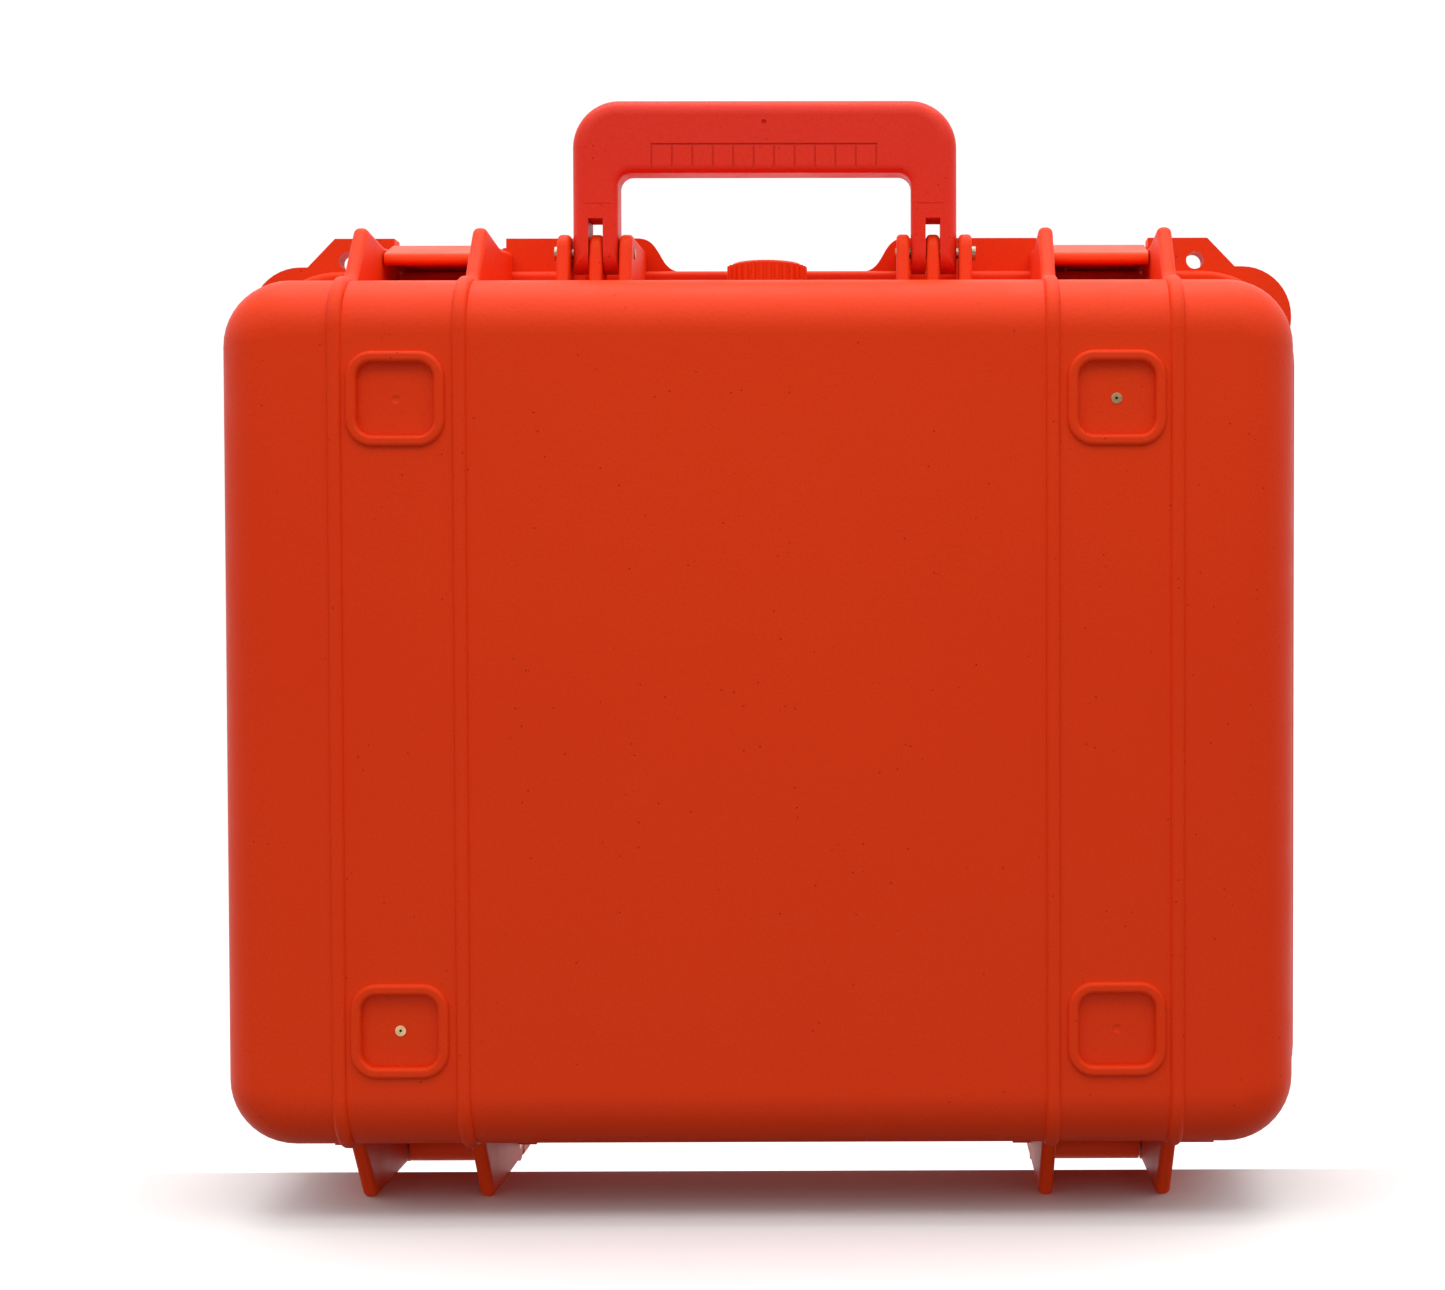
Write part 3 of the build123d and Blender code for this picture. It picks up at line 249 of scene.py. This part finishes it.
def moulded_plastic(name, colour, deep, rough=0.46, grain=1.0, specks=True, spec=0.14):
    """Injection moulded plastic: spark-eroded grain, faint flow marks, tiny dark specks."""
    material, tree, shader, place = new_material(name)
    flow = noise_node(tree, place, FLOW_SCALE)
    shade = mix_colour(tree, spread(tree, flow, 0.3, 0.75, 0.0, 0.35), colour, deep)
    fine = noise_node(tree, place, SHADE_SCALE, 2.0)
    shade = mix_colour(tree, spread(tree, fine, 0.5, 0.75, 0.0, 0.6), shade, deep)
    if specks:
        dots = tree.nodes.new("ShaderNodeTexVoronoi")
        dots.inputs["Scale"].default_value = SPECK_SCALE
        dots.inputs["Randomness"].default_value = 1.0
        tree.links.new(place, dots.inputs["Vector"])
        small = spread(tree, dots.outputs["Distance"], 0.06, 0.11, 1.0, 0.0)
        rare = tree.nodes.new("ShaderNodeMath")
        rare.operation = "MULTIPLY"
        tree.links.new(small, rare.inputs[0])
        patches = noise_node(tree, place, SPECK_PATCH_SCALE, 1.0)
        tree.links.new(spread(tree, patches, 0.56, 0.60), rare.inputs[1])
        shade = mix_colour(tree, rare.outputs[0], shade, SPECK)
    tree.links.new(shade, shader.inputs["Base Color"])
    gloss = noise_node(tree, place, GLOSS_PATCH_SCALE)
    gloss = spread(tree, gloss, 0.3, 0.7, rough - 0.04, rough + 0.05)
    tree.links.new(gloss, shader.inputs["Roughness"])
    shader.inputs["Specular IOR Level"].default_value = spec
    coarse = noise_node(tree, place, COARSE_GRAIN_SCALE, 2.0)
    coarse = bump(tree, shader, coarse, 0.30 * grain, COARSE_GRAIN_DEPTH)
    fine = noise_node(tree, place, FINE_GRAIN_SCALE, 2.0)
    bump(tree, shader, fine, 0.35 * grain, FINE_GRAIN_DEPTH, coarse)
    return material


def metal(name, colour, rough=0.32):
    """Turned metal: fine marks and slight tarnish."""
    material, tree, shader, place = new_material(name)
    dull = tuple(0.72 * c for c in colour)
    tarnish = spread(tree, noise_node(tree, place, TARNISH_SCALE, 4.0), 0.4, 0.7)
    tree.links.new(mix_colour(tree, tarnish, colour, dull), shader.inputs["Base Color"])
    shader.inputs["Metallic"].default_value = 1.0
    wear = noise_node(tree, place, METAL_MARK_SCALE, 2.0)
    gloss = spread(tree, wear, 0.3, 0.7, rough - 0.06, rough + 0.12)
    tree.links.new(gloss, shader.inputs["Roughness"])
    bump(tree, shader, wear, 0.2, METAL_MARK_DEPTH)
    return material


def soft_rubber(name, colour, rough=0.7):
    """Matt rubber or sheet: a little dust and a fine grain."""
    material, tree, shader, place = new_material(name)
    dust = spread(tree, noise_node(tree, place, DUST_SCALE, 4.0), 0.5, 0.8, 0.0, 0.5)
    pale = tuple(min(1.0, 2.2 * c + 0.01) for c in colour)
    tree.links.new(mix_colour(tree, dust, colour, pale), shader.inputs["Base Color"])
    gloss = noise_node(tree, place, RUBBER_GLOSS_SCALE, 2.0)
    gloss = spread(tree, gloss, 0.3, 0.7, rough - 0.08, rough + 0.1)
    tree.links.new(gloss, shader.inputs["Roughness"])
    bump(tree, shader, noise_node(tree, place, RUBBER_GRAIN_SCALE, 2.0), 0.3, FINE_GRAIN_DEPTH)
    return material


def open_cell_foam(name, colour):
    """Charcoal polyurethane foam: fine pores with painted shade in their hollows, and a dusty nap."""
    material, tree, shader, place = new_material(name)
    pores = tree.nodes.new("ShaderNodeTexVoronoi")
    pores.inputs["Scale"].default_value = PORE_SCALE
    tree.links.new(place, pores.inputs["Vector"])
    # pore centres painted darker and their rims paler: painted shade inside the pores
    pale = tuple(2.6 * c for c in colour)
    depth = spread(tree, pores.outputs["Distance"], 0.1, 0.7)
    tree.links.new(mix_colour(tree, depth, colour, pale), shader.inputs["Base Color"])
    shader.inputs["Roughness"].default_value = 0.95
    shader.inputs["Sheen Weight"].default_value = 0.15
    shader.inputs["Specular IOR Level"].default_value = 0.15
    lumps = noise_node(tree, place, FOAM_LUMP_SCALE)
    lumps = bump(tree, shader, lumps, 0.5, FOAM_LUMP_DEPTH)
    bump(tree, shader, pores.outputs["Distance"], 0.6, PORE_DEPTH, lumps)
    return material


MATERIALS = {
    "shell_plastic": moulded_plastic("case_orange", ORANGE, ORANGE_DEEP, rough=0.47),
    "handle_plastic": moulded_plastic("handle_red", HANDLE_RED, HANDLE_DEEP, rough=0.40, grain=0.6),
    # the latch's lighter orange is a painted highlight on a lit copy of the case orange
    "latch_plastic": moulded_plastic(
        "latch_orange", LATCH_ORANGE_LIT, ORANGE, rough=0.34, grain=0.35, specks=False
    ),
    "valve_plastic": moulded_plastic(
        "valve_orange", ORANGE, ORANGE_DEEP, rough=0.38, grain=0.4, specks=False
    ),
    "seal_rubber": soft_rubber("seal_black", RUBBER),
    "membrane_sheet": soft_rubber("membrane_white", MEMBRANE, rough=0.6),
    "pin_steel": metal("pin_steel", STEEL),
    "insert_brass": metal("insert_brass", BRASS, rough=0.28),
    "aed_dark_plastic": moulded_plastic(
        "unit_charcoal", CHARCOAL, CHARCOAL_DEEP, rough=0.55, grain=1.2, specks=False, spec=0.4
    ),
    "aed_light_plastic": moulded_plastic(
        "unit_ivory", IVORY, IVORY_DEEP, rough=0.45, grain=0.6, specks=False, spec=0.45
    ),
    "battery_plastic": moulded_plastic(
        "battery_grey", BATTERY_GREY, BATTERY_DEEP, rough=0.5, grain=0.9, specks=False, spec=0.4
    ),
    "board_laminate": moulded_plastic(
        "board_green", BOARD_GREEN, BOARD_DEEP, rough=0.35, grain=0.4, specks=False, spec=0.5
    ),
    "capacitor_can": metal("component_can", CAN_METAL, rough=0.3),
    "shock_button_plastic": moulded_plastic(
        "shock_orange", SHOCK_ORANGE, SHOCK_DEEP, rough=0.25, grain=0.2, specks=False, spec=0.6
    ),
    "power_button_plastic": moulded_plastic(
        "power_green", POWER_GREEN, POWER_DEEP, rough=0.25, grain=0.2, specks=False, spec=0.6
    ),
    "screen_plastic": moulded_plastic(
        "screen_dark", SCREEN_DARK, SCREEN_DEEP, rough=0.12, grain=0.1, specks=False, spec=0.6
    ),
    "pouch_film": moulded_plastic(
        "pouch_silver", FOIL, FOIL_DEEP, rough=0.30, grain=1.0, specks=False, spec=0.6
    ),
    "foam": open_cell_foam("foam_charcoal", FOAM),
}

for part in frame["record"]["subparts"]:
    node = frame["nodes"][part["node"]]
    node.data.materials.clear()
    node.data.materials.append(MATERIALS[part["material_slot"]])


# ================= soft pieces =================
def link_piece(name, mesh, body, slot_name):
    """Puts a new piece in the scene, on its body and in its slot's material."""
    piece = bpy.data.objects.new(name, mesh)
    bpy.context.scene.collection.objects.link(piece)
    mesh.materials.clear()
    mesh.materials.append(MATERIALS[slot_name])
    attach(piece, body)
    return piece


def shade_smooth(mesh):
    mesh.polygons.foreach_set("use_smooth", [True] * len(mesh.polygons))


def cut_foam_bed():
    """Bed of the base: the block with its pockets, remeshed so that every cut edge is soft."""
    source = frame["nodes"]["base_foam"]
    block = bpy.data.objects.new("foam_block", source.data.copy())
    bpy.context.scene.collection.objects.link(block)
    remesh = block.modifiers.new("remesh", "REMESH")
    remesh.mode = "VOXEL"
    remesh.voxel_size = FOAM_VOXEL
    relax = block.modifiers.new("relax", "SMOOTH")
    relax.factor = FOAM_RELAX_FACTOR
    relax.iterations = FOAM_RELAX
    bpy.context.view_layer.update()
    view = bpy.context.evaluated_depsgraph_get()
    mesh = bpy.data.meshes.new_from_object(block.evaluated_get(view))
    bpy.data.objects.remove(block)
    normals = [normal.vector.copy() for normal in mesh.vertex_normals]
    for vertex, normal in zip(mesh.vertices, normals):
        wave = noise.noise(vertex.co * FOAM_WAVE_SCALE)
        vertex.co -= normal * FOAM_WAVE * (0.5 + 0.5 * wave)
    shade_smooth(mesh)
    mesh.name = "foam_bed"
    piece = link_piece("foam_bed", mesh, "base", "foam")
    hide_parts("base_foam")


def rounded_spot(x, z, half_x, half_z, corner):
    """Point of a rectangle's grid pulled onto its rounded corners."""
    over_x = abs(x) - (half_x - corner)
    over_z = abs(z) - (half_z - corner)
    if over_x <= 0 or over_z <= 0:
        return x, z
    reach = max(over_x, over_z)
    long = math.hypot(over_x, over_z)
    over_x, over_z = over_x * reach / long, over_z * reach / long
    return (
        math.copysign(half_x - corner + over_x, x),
        math.copysign(half_z - corner + over_z, z),
    )


def closed_sheet(name, count_x, count_z, top, bottom):
    """Two grids joined round the border; top and bottom give a point for u, v from -1 to 1."""
    build = bmesh.new()
    layers = []
    for surface in (top, bottom):
        rows = []
        for i in range(count_x + 1):
            u = 2 * i / count_x - 1
            rows.append(
                [build.verts.new(surface(u, 2 * j / count_z - 1)) for j in range(count_z + 1)]
            )
        layers.append(rows)
    for flip, rows in enumerate(layers):
        for i in range(count_x):
            for j in range(count_z):
                ring = (rows[i][j], rows[i + 1][j], rows[i + 1][j + 1], rows[i][j + 1])
                build.faces.new(ring if flip else ring[::-1])
    rim = []
    for rows in layers:
        low = [rows[i][0] for i in range(count_x + 1)]
        right = [rows[count_x][j] for j in range(1, count_z + 1)]
        high = [rows[i][count_z] for i in range(count_x - 1, -1, -1)]
        left = [rows[0][j] for j in range(count_z - 1, 0, -1)]
        rim.append(low + right + high + left)
    upper, lower = rim
    for k in range(len(upper)):
        n = (k + 1) % len(upper)
        build.faces.new((upper[k], upper[n], lower[n], lower[k]))
    bmesh.ops.recalc_face_normals(build, faces=build.faces)
    mesh = bpy.data.meshes.new(name)
    build.to_mesh(mesh)
    build.free()
    shade_smooth(mesh)
    return mesh


def egg_crate_foam():
    """Lid's foam: rows of soft cones towards the contents, flat back, rounded border."""
    low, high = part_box("lid_foam")
    mid_x, mid_z = (low.x + high.x) / 2, (low.z + high.z) / 2
    half_x, half_z = (high.x - low.x) / 2, (high.z - low.z) / 2
    front = low.y + EGG_GAP

    def plan(u, v, inset):
        return rounded_spot(
            u * (half_x - inset), v * (half_z - inset), half_x, half_z, EGG_CORNER
        )

    def cones(u, v):
        x, z = plan(u, v, EGG_FRONT_INSET)
        wave = math.cos(math.tau * x / EGG_PITCH) * math.cos(math.tau * z / EGG_PITCH)
        border = min(half_x - abs(x), half_z - abs(z))
        calm = min(1.0, max(0.0, (border - EGG_EDGE) / EGG_PITCH * 2))
        depth = (0.5 - 0.5 * wave) * EGG_DEPTH * calm + (1 - calm) * EGG_DEPTH * 0.5
        fall = max(0.0, 1 - border / EGG_EDGE)
        ripple = EGG_RIPPLE * noise.noise(Vector((x, z, 0)) * EGG_RIPPLE_SCALE)
        return (mid_x + x, front + depth + fall * fall * EGG_EDGE + ripple, mid_z + z)

    def back(u, v):
        x, z = plan(u, v, EGG_BACK_INSET)
        return (mid_x + x, high.y - EGG_GAP, mid_z + z)

    mesh = closed_sheet("foam_lid", EGG_COUNT_X, EGG_COUNT_Z, cones, back)
    piece = link_piece("foam_lid", mesh, "lid", "foam")
    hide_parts("lid_foam")


def pads_pouch():
    """Sealed foil pouch: a flat crimped border round a filled middle with puckers at the seal."""
    low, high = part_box("pads_pouch")
    mid_x, mid_z = (low.x + high.x) / 2, (low.z + high.z) / 2
    half_x, half_z = (high.x - low.x) / 2 - POUCH_GAP, (high.z - low.z) / 2 - POUCH_GAP
    seal_y = low.y + POUCH_SEAL_AT * (high.y - low.y)

    def swell(u, v):
        inner_u = min(1.0, abs(u) * half_x / (half_x - POUCH_SEAL))
        inner_v = min(1.0, abs(v) * half_z / (half_z - POUCH_SEAL))
        full = (1 - inner_u**4) * (1 - inner_v**4)
        return max(0.0, full) ** POUCH_FULLNESS

    def puckers(u, v):
        x, z = u * half_x, v * half_z
        near = max(0.0, 1 - swell(u, v)) * 4 * swell(u, v)
        stray_x = POUCH_STRAY * noise.noise(Vector((x, z, 0)) * POUCH_STRAY_SCALE)
        stray_z = POUCH_STRAY * noise.noise(Vector((z, x, 0)) * POUCH_STRAY_SCALE)
        across = math.sin(x * POUCH_PUCKERS_X + stray_x)
        along = math.sin(z * POUCH_PUCKERS_Z + stray_z)
        mix = across if abs(v) > abs(u) else along
        dent = POUCH_DENT * noise.noise(Vector((x, z, 0.3)) * POUCH_DENT_SCALE)
        return near * mix * POUCH_PUCKER + dent

    def sheet_at(u, v, way, reach):
        x, z = rounded_spot(u * half_x, v * half_z, half_x, half_z, POUCH_CORNER)
        from_edge = max(abs(x) - half_x, abs(z) - half_z)
        crimp = POUCH_CRIMP * math.sin(from_edge * POUCH_CRIMP_PITCH)
        rise = POUCH_HALF_FILM + swell(u, v) * (reach - 3 * POUCH_HALF_FILM)
        return (mid_x + x, seal_y + way * (rise + puckers(u, v) * swell(u, v)) + crimp, mid_z + z)

    top = high.y - seal_y - POUCH_GAP
    bottom = seal_y - low.y - POUCH_GAP
    mesh = closed_sheet(
        "pouch",
        POUCH_COUNT,
        POUCH_COUNT,
        lambda u, v: sheet_at(u, v, 1, top),
        lambda u, v: sheet_at(u, v, -1, bottom),
    )
    piece = link_piece("pouch", mesh, "base", "pouch_film")
    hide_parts("pads_pouch")


cut_foam_bed()
egg_crate_foam()
pads_pouch()


# ================= signs on the unit =================
def raised_shape(name, outlines, at, face_y, rise, body, slot_name):
    """Thin raised sign on a face that looks to +Y, from outlines drawn as seen, in millimetres."""
    build = bmesh.new()
    for outline in outlines:
        spots = [(at[0] - x * MM, at[1] + z * MM) for x, z in outline]
        low = [build.verts.new((x, face_y - SIGN_SINK, z)) for x, z in spots]
        high = [build.verts.new((v.co.x, face_y + rise, v.co.z)) for v in low]
        build.faces.new(high)
        build.faces.new(low[::-1])
        for k in range(len(low)):
            n = (k + 1) % len(low)
            build.faces.new((low[k], low[n], high[n], high[k]))
    bmesh.ops.recalc_face_normals(build, faces=build.faces)
    mesh = bpy.data.meshes.new(name)
    build.to_mesh(mesh)
    build.free()
    return link_piece(name, mesh, body, slot_name)


def arc_band(inner, outer, start, stop, steps):
    """Closed outline of a ring's part, angles in degrees from straight up."""
    turns = [math.radians(start + (stop - start) * k / steps) for k in range(steps + 1)]
    outside = [(outer * math.sin(t), outer * math.cos(t)) for t in turns]
    inside = [(inner * math.sin(t), inner * math.cos(t)) for t in reversed(turns)]
    return outside + inside


def middle_of(node_name):
    """Middle of a node's box in X and Z, and the Y of its front."""
    low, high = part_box(node_name)
    return ((low.x + high.x) / 2, (low.z + high.z) / 2), high.y


def unit_signs():
    """Bolt and ring on the two buttons, tick on the status screen."""
    at, front = middle_of("aed_shock_button")
    raised_shape("bolt_sign", [BOLT], at, front, BOLT_RISE, "shock_button", "aed_light_plastic")
    at, front = middle_of("aed_power_button")
    ring = arc_band(
        POWER_RING_IN, POWER_RING_OUT, POWER_RING_OPEN, 360 - POWER_RING_OPEN, POWER_RING_STEPS
    )
    half, low, high = POWER_STEM_HALF, POWER_STEM_LOW, POWER_STEM_HIGH
    stem = [(-half, low), (half, low), (half, high), (-half, high)]
    raised_shape(
        "power_sign", [ring, stem], at, front, POWER_RISE, "power_button", "aed_light_plastic"
    )
    at, front = middle_of("aed_screen")
    raised_shape("ready_sign", [TICK], at, front, TICK_RISE, "base", "power_button_plastic")


unit_signs()


# ================= stage, lights, camera =================
def stage_floor():
    """Pale table that ends under the case, so that the lid can open past its edge."""
    mesh = bpy.data.meshes.new("floor")
    side, edge, low = FLOOR_SIDE, TABLE_EDGE, -TABLE_STEP
    corners = [
        (-side, -side, 0),
        (side, -side, 0),
        (side, edge, 0),
        (-side, edge, 0),
        (side, edge, low),
        (-side, edge, low),
        (side, side, low),
        (-side, side, low),
    ]
    mesh.from_pydata(corners, [], [(0, 1, 2, 3), (3, 2, 4, 5), (5, 4, 6, 7)])
    floor = bpy.data.objects.new("floor", mesh)
    bpy.context.scene.collection.objects.link(floor)
    material, tree, shader, place = new_material("floor_paper")
    cloud = spread(tree, noise_node(tree, place, PAPER_CLOUD_SCALE, 4.0), 0.3, 0.7)
    shade = mix_colour(tree, cloud, PAPER_LOW, PAPER_HIGH)
    tree.links.new(shade, shader.inputs["Base Color"])
    shader.inputs["Roughness"].default_value = 0.9
    shader.inputs["Specular IOR Level"].default_value = 0.1
    mesh.materials.append(material)
    floor.visible_diffuse = False


def studio_surround():
    """White room: bright behind the case and overhead, dimmer on the camera's side and below."""
    world = bpy.data.worlds.new("studio")
    bpy.context.scene.world = world
    world.use_nodes = True
    tree = world.node_tree
    place = tree.nodes.new("ShaderNodeTexCoord").outputs["Generated"]
    split = tree.nodes.new("ShaderNodeSeparateXYZ")
    tree.links.new(place, split.inputs[0])
    back = spread(tree, split.outputs["Y"], *BACK_FADE, FRONT_FILL, HORIZON)
    above = spread(tree, split.outputs["Z"], *ABOVE_FADE)
    below = spread(tree, split.outputs["Z"], *BELOW_FADE)
    grey = tree.nodes.new("ShaderNodeMix")
    tree.links.new(above, grey.inputs["Factor"])
    tree.links.new(back, grey.inputs["A"])
    grey.inputs["B"].default_value = ZENITH
    ground = tree.nodes.new("ShaderNodeMix")
    tree.links.new(below, ground.inputs["Factor"])
    tree.links.new(grey.outputs["Result"], ground.inputs["A"])
    bounce = spread(tree, split.outputs["Y"], *BOUNCE_FADE, FRONT_BOUNCE, NADIR)
    tree.links.new(bounce, ground.inputs["B"])
    background = tree.nodes["Background"]
    tree.links.new(ground.outputs["Result"], background.inputs["Color"])
    background.inputs["Strength"].default_value = 1.0


def area_light(name, at, aim, size, power):
    data = bpy.data.lights.new(name, "AREA")
    data.shape = "RECTANGLE"
    data.size, data.size_y = size
    data.energy = power
    light = bpy.data.objects.new(name, data)
    light.location = at
    light.rotation_euler = (Vector(aim) - Vector(at)).to_track_quat("-Z", "Y").to_euler()
    bpy.context.scene.collection.objects.link(light)


def camera():
    data = bpy.data.cameras.new("camera")
    data.sensor_fit = "HORIZONTAL"
    data.sensor_width = CAMERA_SENSOR
    data.lens = CAMERA_LENS
    data.shift_x, data.shift_y = CAMERA_SHIFT
    data.clip_start = 0.01
    eye = bpy.data.objects.new("camera", data)
    eye.location = CAMERA_AT
    eye.rotation_euler = [math.radians(turn) for turn in CAMERA_TURN]
    bpy.context.scene.collection.objects.link(eye)
    bpy.context.scene.camera = eye


stage_floor()
studio_surround()
area_light("top_soft", TOP_AT, TOP_AIM, TOP_SIZE, TOP_POWER)
area_light("front_high", KEY_AT, KEY_AIM, KEY_SIZE, KEY_POWER)
camera()
bpy.context.scene.view_settings.view_transform = "Standard"
